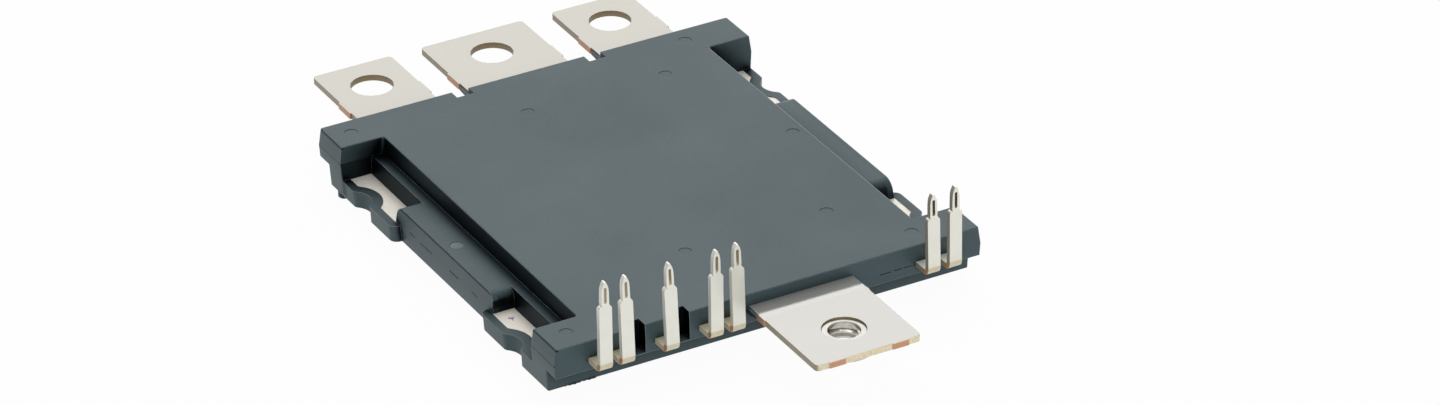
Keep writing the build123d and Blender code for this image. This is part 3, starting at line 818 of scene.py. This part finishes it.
@dataclass
class Housing:
    """The moulded body with the shallow round marks of the ejector pins sunk into it."""

    mark_radius_mm: float = 1.0
    mark_depth_mm: float = 0.045
    mark_halo: float = 1.3
    cutter_mm: float = 1.0
    cutter_sides: int = 48
    smooth_degrees: float = 20.0
    top_mm: float = 8.0
    rail_top_mm: float = 5.35
    top_marks_mm: tuple[Spot, ...] = (
        (-30.6, 33.0), (-30.4, -32.8), (25.0, 33.2), (25.0, -32.9), (24.9, 0.8),
        (-5.5, 25.5), (17.4, 25.5), (-5.4, -21.6), (17.5, -21.7))
    rail_marks_mm: tuple[Spot, ...] = ((-30.4, 0.3),)

    def mark_cutter(self) -> Piece:
        """Makes one piece out of all the ejector pins' ends.

        Returns:
            The cutter, which the caller deletes.
        """
        places = [(x, y, self.top_mm) for x, y in self.top_marks_mm]
        places += [(x, y, self.rail_top_mm) for x, y in self.rail_marks_mm]
        ends = []
        for x, y, z in places:
            deselect_all()
            middle = (x * MM, y * MM, (z - self.mark_depth_mm + self.cutter_mm / 2) * MM)
            bpy.ops.mesh.primitive_cylinder_add(vertices=self.cutter_sides, radius=self.mark_radius_mm * MM,
                                                depth=self.cutter_mm * MM, location=middle)
            ends.append(bpy.context.object)
        deselect_all()
        for end in ends:
            end.select_set(True)
        bpy.context.view_layer.objects.active = ends[0]
        bpy.ops.object.join()
        return bpy.context.object

    def build(self, nodes: Nodes) -> None:
        """Replaces the body by a copy with its marks.

        Args:
            nodes: The CAD nodes by name.
        """
        cutter = self.mark_cutter()
        body = merged_copy(nodes["mold_body"], "housing_marked")
        cut = body.modifiers.new("ejector_marks", "BOOLEAN")
        cut.operation = "DIFFERENCE"
        cut.solver = "EXACT"
        cut.object = cutter
        apply_modifiers(body)
        bpy.data.objects.remove(cutter, do_unlink=True)
        bpy.ops.object.shade_smooth_by_angle(angle=math.radians(self.smooth_degrees))
        halo = self.mark_halo * self.mark_radius_mm
        marks = tuple(Disc(x, y, halo) for x, y in (*self.top_marks_mm, *self.rail_marks_mm))
        bright = tuple(Disc(x, y, self.mark_radius_mm) for x, y in self.rail_marks_mm)
        dress(body, MouldedCompound(marks=marks, bright_marks=bright).build())
        dress(nodes["mold_body"], body.data.materials[0])
        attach(body, BODY)
        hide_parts("mold_body")
        LOG.info("housing marked and dressed")


@dataclass
class Terminals:
    """The four flat power terminals, with softened edges and the marks of their trimming."""

    edge_mm: float = 0.06
    edge_segments: int = 2
    sharp_degrees: float = 60.0
    smooth_degrees: float = 50.0
    dc_names: tuple[str, ...] = ("dc_minus_terminal_left", "dc_plus_terminal", "dc_minus_terminal_right")
    dc_holes_mm: tuple[Spot, ...] = ((-20.0, 47.45), (0.0, 47.45), (20.0, 47.45))
    ac_hole_mm: Spot = (4.9, -48.45)
    hole_reach_mm: float = 3.4
    strip_half_mm: float = 9.2
    low_mm: float = 5.05
    high_mm: float = 6.0
    dc_ties_mm: Span = (41.2, 45.2)
    ac_ties_mm: Span = (-41.2, -38.9)
    front_ties_mm: Span = (-55.7, -55.2)
    front_tie_half_mm: float = 1.25
    front_shifts_mm: Span = (-5.05, 5.05)
    ac_face: Colour = (0.66, 0.645, 0.61)
    ac_edge: Colour = (0.92, 0.80, 0.56)
    shine_mm: Span = (-38.9, -36.0)
    shine_top_mm: float = 6.2
    shine_softness_mm: float = 1.8

    def softened_copy(self, node: Piece, name: str) -> Piece:
        """Copies a node and rounds its sharp edges.

        Args:
            node: The CAD node.
            name: The copy's name.

        Returns:
            The new piece, in the node's place.
        """
        piece = merged_copy(node, name)
        bevel = piece.modifiers.new("softening", "BEVEL")
        bevel.width = self.edge_mm * MM
        bevel.segments = self.edge_segments
        bevel.limit_method = "ANGLE"
        bevel.angle_limit = math.radians(self.sharp_degrees)
        bevel.use_clamp_overlap = False
        apply_modifiers(piece)
        bpy.ops.object.shade_smooth_by_angle(angle=math.radians(self.smooth_degrees))
        weighted = piece.modifiers.new("flat_faces", "WEIGHTED_NORMAL")
        weighted.keep_sharp = True
        apply_modifiers(piece)
        return piece

    def cut(self, x: float, half: float, ties: Span) -> Patch:
        """Marks where a tie bar was cut from a terminal's edge.

        Args:
            x: The stretch's middle.
            half: Half of its width.
            ties: Where it starts and ends along Y.

        Returns:
            The bare stretch.
        """
        return Patch((x - half, ties[0], self.low_mm), (x + half, ties[1], self.high_mm))

    def dc_finish(self) -> NickelPlate:
        """The outer and middle terminals' finish, bare where the tie bars were cut."""
        cuts = tuple(self.cut(x, self.strip_half_mm, self.dc_ties_mm) for x, _ in self.dc_holes_mm)
        holes = tuple(Disc(x, y, self.hole_reach_mm) for x, y in self.dc_holes_mm)
        return NickelPlate("terminal_nickel_dc", holes=holes, cuts=cuts)

    def ac_finish(self) -> NickelPlate:
        """The phase terminal's finish, bare at its ties and bright where it meets the body."""
        x, y = self.ac_hole_mm
        half, (start, end) = self.strip_half_mm, self.shine_mm
        fronts = (self.cut(x + shift, self.front_tie_half_mm, self.front_ties_mm)
                  for shift in self.front_shifts_mm)
        return NickelPlate("terminal_nickel_ac", face=self.ac_face, edge=self.ac_edge,
                           polished=Patch((x - half, start, self.high_mm), (x + half, end, self.shine_top_mm),
                                          self.shine_softness_mm),
                           holes=(Disc(x, y, self.hole_reach_mm),),
                           cuts=(self.cut(x, half, self.ac_ties_mm), *fronts))

    def build(self, nodes: Nodes) -> None:
        """Replaces the terminals by softened copies.

        Args:
            nodes: The CAD nodes by name.
        """
        dc = self.dc_finish().build()
        ac = self.ac_finish().build()
        for name in (*self.dc_names, "ac_terminal"):
            piece = self.softened_copy(nodes[name], name + "_softened")
            dress(piece, ac if name == "ac_terminal" else dc)
            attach(piece, BODY)
            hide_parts(name)
            LOG.info("%s softened", name)


@dataclass
class SignalPins:
    """The seven press-fit pins."""

    slot_half_mm: float = 0.3
    slot_low_mm: float = 3.4
    slot_high_mm: float = 0.7
    tip_mm: float = 0.05
    blade_mm: Span = (-41.0, -39.0)

    def slot_of(self, pin: Piece) -> Patch:
        """Finds the box round the slot in a pin's eye.

        Args:
            pin: The pin.

        Returns:
            The box.
        """
        places = [vertex.co / MM for vertex in pin.data.vertices]
        top = max(place.z for place in places)
        tip = [place.x for place in places if place.z > top - self.tip_mm]
        middle = sum(tip) / len(tip)
        front, back = self.blade_mm
        return Patch((middle - self.slot_half_mm, front, top - self.slot_low_mm),
                     (middle + self.slot_half_mm, back, top - self.slot_high_mm))

    def build(self, nodes: Nodes) -> None:
        """Dresses the pins.

        Args:
            nodes: The CAD nodes by name.
        """
        pins = [nodes[f"signal_pin_{index}"] for index in range(1, PIN_COUNT + 1)]
        plate = PinPlate(slots=tuple(self.slot_of(pin) for pin in pins)).build()
        for pin in pins:
            dress(pin, plate)
        LOG.info("signal pins dressed")


@dataclass
class ClinchNut:
    """The self-clinching nut, turned from its section, with a collar above its thread."""

    middle_mm: Spot = (4.9, -48.45)
    core_mm: float = 2.05
    root_mm: float = 2.5
    collar_mm: float = 2.3
    collar_depth_mm: float = 0.55
    shank_mm: float = 3.2
    head_mm: float = 4.35
    break_mm: float = 0.08
    crest_half_mm: float = 0.06
    flank_half_mm: float = 0.36
    pitch_mm: float = 0.8
    steps: int = 64
    seam_mm: float = 0.0001
    smooth_degrees: float = 30.0
    height_digits: int = 3

    def wound(self, name: str, corners: list[Spot], rise_mm: float, turns: int) -> Piece:
        """Winds a section round the nut's axis.

        Args:
            name: The piece's name.
            corners: The section's corners as radius and height, in millimetres.
            rise_mm: How far it climbs in a turn, 0 for a closed ring.
            turns: How many turns it makes.

        Returns:
            The piece, closed and smooth.
        """
        deselect_all()
        bpy.ops.mesh.primitive_circle_add(vertices=len(corners), radius=MM, fill_type="NGON")
        piece = bpy.context.object
        piece.name = name
        for vertex, (radius, height) in zip(piece.data.vertices, corners):
            vertex.co = Vector((radius * MM, 0.0, height * MM))
        screw = piece.modifiers.new("winding", "SCREW")
        screw.axis = "Z"
        screw.screw_offset = rise_mm * MM
        screw.iterations = turns
        screw.steps = screw.render_steps = self.steps
        screw.use_merge_vertices = True
        screw.merge_threshold = self.seam_mm * MM
        apply_modifiers(piece)
        x, y = self.middle_mm
        piece.data.transform(Matrix.Translation(Vector((x * MM, y * MM, 0.0))))
        face_outwards(piece)
        bpy.ops.object.shade_smooth_by_angle(angle=math.radians(self.smooth_degrees))
        return piece

    def build(self, nodes: Nodes) -> None:
        """Replaces the nut by a turned one with a thread.

        Args:
            nodes: The CAD nodes by name.
        """
        vertices = nodes["clinch_nut"].data.vertices
        heights = sorted({round(vertex.co.z / MM, self.height_digits) for vertex in vertices})
        bottom, top = heights[0], heights[-1]
        seat = heights[len(heights) // 2]
        collar_end = top - self.collar_depth_mm
        flat = self.break_mm
        section = [(self.root_mm, bottom), (self.head_mm - flat, bottom), (self.head_mm, bottom + flat),
                   (self.head_mm, seat), (self.shank_mm, seat), (self.shank_mm, top - flat),
                   (self.shank_mm - flat, top), (self.collar_mm + flat, top), (self.collar_mm, top - flat),
                   (self.collar_mm, collar_end), (self.root_mm, collar_end)]
        steel = Finish.NUT.value.build()
        dress(nodes["clinch_nut"], steel)
        nut = self.wound("nut_turned", section, 0.0, 1)
        root = self.root_mm + flat
        ridge = [(root, -self.flank_half_mm), (root, self.flank_half_mm), (self.core_mm, self.crest_half_mm),
                 (self.core_mm, -self.crest_half_mm)]
        turns = math.ceil((collar_end - bottom - 2 * self.flank_half_mm) / self.pitch_mm)
        start = bottom + self.flank_half_mm
        thread = self.wound("nut_thread", [(r, start + h) for r, h in ridge], self.pitch_mm, turns)
        for piece in (nut, thread):
            dress(piece, steel)
            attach(piece, BODY)
        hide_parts("clinch_nut")
        LOG.info("nut turned from %.2f to %.2f mm with %d turns of thread", bottom, top, turns)


@dataclass
class MouldFlash:
    """The thin resin that the mould let out: a ragged fringe at the gate and films beside the terminals."""

    gate_mm: Span = (-31.3, -26.3)
    gate_y_mm: float = -33.62
    gate_reach_mm: float = 0.34
    gate_thick_mm: float = 0.22
    gate_cuts: int = 24
    wave_rates: Span = (2.9, 5.3)
    wave_shift: float = 0.7
    wave_share: float = 0.8
    thinning: float = 0.5
    films_mm: tuple[tuple[float, float, float, float], ...] = (
        (-8.55, 36.5, 41.1, 5.12), (13.5, 36.5, 41.1, 5.12), (-3.5, -36.5, -38.9, 5.12))
    film_width_mm: float = 0.45
    film_height_mm: float = 0.9
    end_width: float = 0.4
    end_height: float = 0.8

    def fringe(self) -> Piece:
        """Makes the fringe along the skirt's lower front edge.

        Returns:
            The fringe.
        """
        deselect_all()
        bpy.ops.mesh.primitive_plane_add(size=MM)
        piece = bpy.context.object
        piece.name = "gate_fringe"
        x0, x1 = self.gate_mm
        for vertex in piece.data.vertices:
            x = x1 if vertex.co.x > 0 else x0
            y = self.gate_y_mm if vertex.co.y > 0 else self.gate_y_mm - self.gate_reach_mm
            vertex.co = Vector((x * MM, y * MM, 0.0))
        bpy.ops.object.mode_set(mode="EDIT")
        bpy.ops.mesh.select_all(action="SELECT")
        bpy.ops.mesh.subdivide(number_cuts=self.gate_cuts)
        rise = (0.0, 0.0, self.gate_thick_mm * MM)
        bpy.ops.mesh.extrude_region_move(TRANSFORM_OT_translate={"value": rise})
        bpy.ops.object.mode_set(mode="OBJECT")
        slow, fast = self.wave_rates
        for vertex in piece.data.vertices:
            out = (self.gate_y_mm * MM - vertex.co.y) / self.gate_reach_mm / MM
            wave = math.sin(vertex.co.x / MM * slow) * math.cos(vertex.co.x / MM * fast + self.wave_shift)
            vertex.co.y += out * ((1.0 - wave) / 2) * self.gate_reach_mm * MM * self.wave_share
            vertex.co.z -= out * vertex.co.z * self.thinning
        return piece

    def film(self, x: float, y: float, end: float, low: float) -> Piece:
        """Makes one film of resin against a terminal's left side.

        Args:
            x: The terminal's left side.
            y: Where the film starts, inside the body.
            end: Where it runs out.
            low: Its lower side.

        Returns:
            The film.
        """
        deselect_all()
        bpy.ops.mesh.primitive_cube_add(size=MM)
        piece = bpy.context.object
        piece.name = "resin_film"
        for vertex in piece.data.vertices:
            far = vertex.co.y > 0
            width = self.film_width_mm * (self.end_width if far else 1.0)
            side = x if vertex.co.x > 0 else x - width
            high = low + self.film_height_mm * (self.end_height if far else 1.0)
            vertex.co = Vector((side * MM, (end if far else y) * MM, (high if vertex.co.z > 0 else low) * MM))
        face_outwards(piece)
        return piece

    def build(self, nodes: Nodes) -> None:
        """Adds the flash in the body's finish.

        Args:
            nodes: The CAD nodes by name.
        """
        compound = nodes["mold_body"].data.materials[0]
        for piece in (self.fringe(), *(self.film(*film) for film in self.films_mm)):
            dress(piece, compound)
            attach(piece, BODY)
        LOG.info("flash added")


@dataclass
class SealedParts:
    """The cooling plate and everything inside the compound."""

    words: tuple[tuple[Finish, tuple[str, ...]], ...] = (
        (Finish.PLATE, ("cooling_plate",)), (Finish.SOLDER, ("solder",)), (Finish.DIE, ("_die_",)),
        (Finish.CERAMIC, ("_ceramic", "thermistor")), (Finish.RIBBON, ("ribbons",)),
        (Finish.COPPER, ("copper", "track", "clip", "pads")))

    def finish_of(self, name: str) -> Finish | None:
        """Names the finish of a sealed node.

        Args:
            name: The node's name.

        Returns:
            Its finish, or None if another class dresses it.
        """
        for finish, words in self.words:
            if any(word in name for word in words):
                return finish
        return None

    def build(self, nodes: Nodes) -> None:
        """Dresses the sealed nodes.

        Args:
            nodes: The CAD nodes by name.
        """
        made: dict[Finish, Material] = {}
        for name, node in nodes.items():
            finish = self.finish_of(name)
            if finish is None:
                continue
            if finish not in made:
                made[finish] = finish.value.build()
            dress(node, made[finish])
        LOG.info("plate and sealed parts dressed with %d finishes", len(made))


@dataclass
class Studio:
    """A white floor and surround, soft lamps and the photograph's camera."""

    floor_mm: float = -1.5
    floor_size: float = 6.0
    floor_colour: Colour = (0.96, 0.96, 0.96)
    floor_roughness: float = 0.9
    floor_glow: float = 0.96
    surround: float = 0.25
    mirrored: float = 0.5
    lamps: tuple[tuple[str, Point, float, float], ...] = (
        ("back_lamp", (0.63, 1.14, 0.75), 16.0, 2.2), ("top_lamp", (0.15, 0.25, 1.3), 4.0, 0.9),
        ("front_lamp", (-0.3, -1.2, 0.55), 9.0, 1.6))
    camera_place: Point = (-0.410307, -0.763662, 0.497243)
    camera_right: Point = (0.87223761, -0.48898531, -0.00974282)
    camera_up: Point = (0.24938192, 0.42752719, 0.86892414)
    camera_back: Point = (-0.42072582, -0.760338, 0.49484939)
    focal_px: float = 6934.0
    picture_px: float = 1440.0
    sensor_mm: float = 36.0
    clip: Span = (0.01, 50.0)

    def seen_mask(self, tree: NodeTree) -> Socket:
        """A mask of 1 for the camera's, mirrored and refracted rays.

        Args:
            tree: The tree to fill.

        Returns:
            The mask's socket.
        """
        path = tree.add("LightPath")
        mirrored = tree.math("MAXIMUM", path.outputs["Is Glossy Ray"], path.outputs["Is Transmission Ray"])
        return tree.math("MAXIMUM", path.outputs["Is Camera Ray"], mirrored)

    def world(self) -> None:
        """White to the eye and to mirrors, softer as a light."""
        world = bpy.data.worlds.new("white_surround")
        bpy.context.scene.world = world
        world.use_nodes = True
        tree = NodeTree(world.node_tree)
        background = next(n for n in world.node_tree.nodes if n.type == "BACKGROUND")
        background.inputs["Color"].default_value = (1.0, 1.0, 1.0, 1.0)
        path = tree.add("LightPath")
        seen = tree.times(path.outputs["Is Camera Ray"], 1.0 - self.mirrored)
        more = tree.times(self.seen_mask(tree), self.mirrored - self.surround)
        strength = tree.math("ADD", tree.math("ADD", more, seen), self.surround)
        tree.link(strength, background.inputs["Strength"])

    def floor(self) -> None:
        """A pale floor that keeps the module's soft shadow."""
        deselect_all()
        bpy.ops.mesh.primitive_plane_add(size=self.floor_size, location=(0.0, 0.0, self.floor_mm * MM))
        floor = bpy.context.object
        floor.name = "studio_floor"
        floor.data.transform(Matrix.Translation(floor.location))
        floor.location = (0.0, 0.0, 0.0)
        material, tree, shader = new_material("floor_white")
        shader.inputs["Base Color"].default_value = rgba(self.floor_colour)
        shader.inputs["Roughness"].default_value = self.floor_roughness
        glow = tree.add("Emission", {"Strength": 1.0})
        share = tree.times(self.seen_mask(tree), self.floor_glow)
        blend = tree.add("MixShader", {0: share, 1: shader.outputs[0], 2: glow.outputs[0]})
        output = next(n for n in material.node_tree.nodes if n.type == "OUTPUT_MATERIAL")
        tree.link(blend.outputs[0], output.inputs["Surface"])
        dress(floor, material)

    def lamp(self, name: str, place: Point, power: float, size: float) -> None:
        """Adds a square soft lamp that faces the module.

        Args:
            name: The lamp's name.
            place: Where it stands.
            power: Its power in watts.
            size: Its side.
        """
        data = bpy.data.lights.new(name, "AREA")
        data.energy = power
        data.size = size
        lamp = bpy.data.objects.new(name, data)
        bpy.context.scene.collection.objects.link(lamp)
        lamp.location = place
        lamp.rotation_euler = (-Vector(place)).to_track_quat("-Z", "Y").to_euler()

    def camera(self) -> None:
        """The photograph's camera."""
        data = bpy.data.cameras.new("photo_camera")
        data.sensor_fit = "HORIZONTAL"
        data.sensor_width = self.sensor_mm
        data.lens = self.focal_px / self.picture_px * self.sensor_mm
        data.clip_start, data.clip_end = self.clip
        camera = bpy.data.objects.new("photo_camera", data)
        bpy.context.scene.collection.objects.link(camera)
        axes = Matrix((self.camera_right, self.camera_up, self.camera_back)).transposed().to_4x4()
        camera.matrix_world = Matrix.Translation(Vector(self.camera_place)) @ axes
        bpy.context.scene.camera = camera

    def build(self) -> None:
        """Builds the whole studio."""
        self.world()
        self.floor()
        for lamp in self.lamps:
            self.lamp(*lamp)
        self.camera()
        bpy.context.scene.view_settings.view_transform = "Standard"
        LOG.info("studio built")


def main() -> None:
    """Builds the scene piece by piece."""
    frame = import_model()
    nodes = frame["nodes"]
    Studio().build()
    Housing().build(nodes)
    MouldFlash().build(nodes)
    SealedParts().build(nodes)
    Terminals().build(nodes)
    SignalPins().build(nodes)
    ClinchNut().build(nodes)


if __name__ == "__main__":
    logging.basicConfig(level=logging.INFO)
    main()
